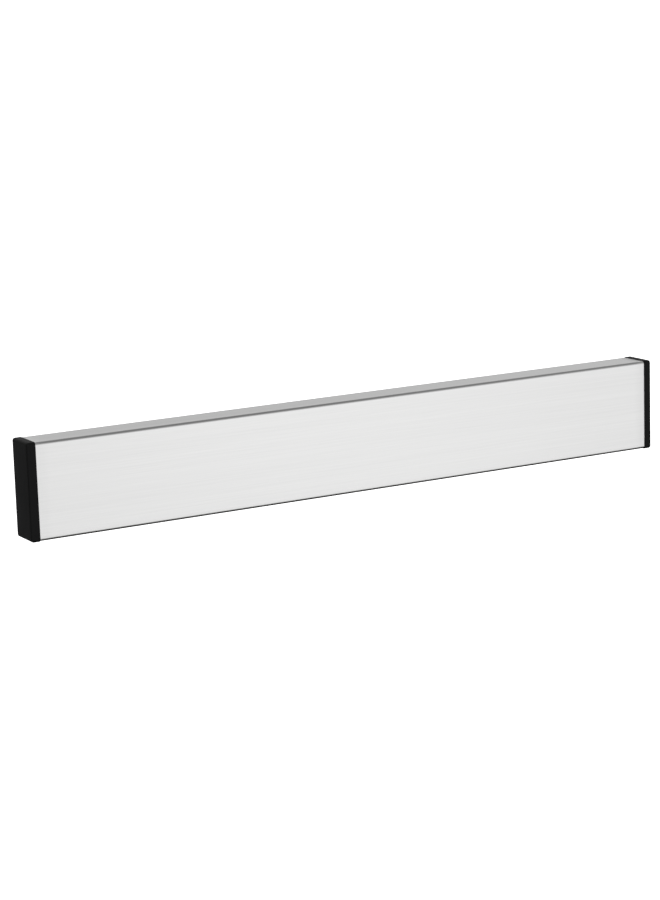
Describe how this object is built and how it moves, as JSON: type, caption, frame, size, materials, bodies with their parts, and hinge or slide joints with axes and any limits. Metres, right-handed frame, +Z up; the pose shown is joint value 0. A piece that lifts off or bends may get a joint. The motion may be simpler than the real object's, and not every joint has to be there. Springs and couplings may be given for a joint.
{
  "type": "magnetic knife rack",
  "caption": "Wall-mounted magnetic knife rack: a long folded stainless steel bar with black end caps, magnets and a steel yoke inside, and a back plate with keyholes.",
  "frame": {"origin": "on the wall plane, midway between the middles of the two keyholes' round entries, which is the middle of the rack's back", "axes": "+X along the rack to the right as the face is looked at, -Y out of the magnetic face, +Y into the wall, +Z up"},
  "size_m": [0.4, 0.0203, 0.0532],
  "materials": {
    "cover_steel": "stainless sheet with a fine grain brushed along its length, satin",
    "cap_plastic": "black moulded ABS with a fine even texture, low sheen",
    "tray_plastic": "dark grey moulded ABS",
    "yoke_steel": "zinc-plated mild steel strip",
    "plate_plastic": "black moulded ABS with a fine texture",
    "ferrite": "ground dark grey sintered ferrite"
  },
  "bodies": {
    "rack": {"front_cover": "cover_steel", "magnet_tray": "tray_plastic", "yoke_strip": "yoke_steel", "back_plate": "plate_plastic", "magnet_row1_1": "ferrite", "magnet_row1_2": "ferrite", "magnet_row1_3": "ferrite", "magnet_row1_4": "ferrite", "magnet_row1_5": "ferrite", "magnet_row1_6": "ferrite", "magnet_row1_7": "ferrite", "magnet_row1_8": "ferrite", "magnet_row2_1": "ferrite", "magnet_row2_2": "ferrite", "magnet_row2_3": "ferrite", "magnet_row2_4": "ferrite", "magnet_row2_5": "ferrite", "magnet_row2_6": "ferrite", "magnet_row2_7": "ferrite", "magnet_row2_8": "ferrite"},
    "left_cap": {"left_end_cap": "cap_plastic"},
    "right_cap": {"right_end_cap": "cap_plastic"}
  },
  "joints": [
    {"name": "left_cap_pull", "type": "slide", "parent": "rack", "child": "left_cap", "axis": [-1, 0, 0], "range_m": [0, 0.02]},
    {"name": "right_cap_pull", "type": "slide", "parent": "rack", "child": "right_cap", "axis": [1, 0, 0], "range_m": [0, 0.02]}
  ]
}
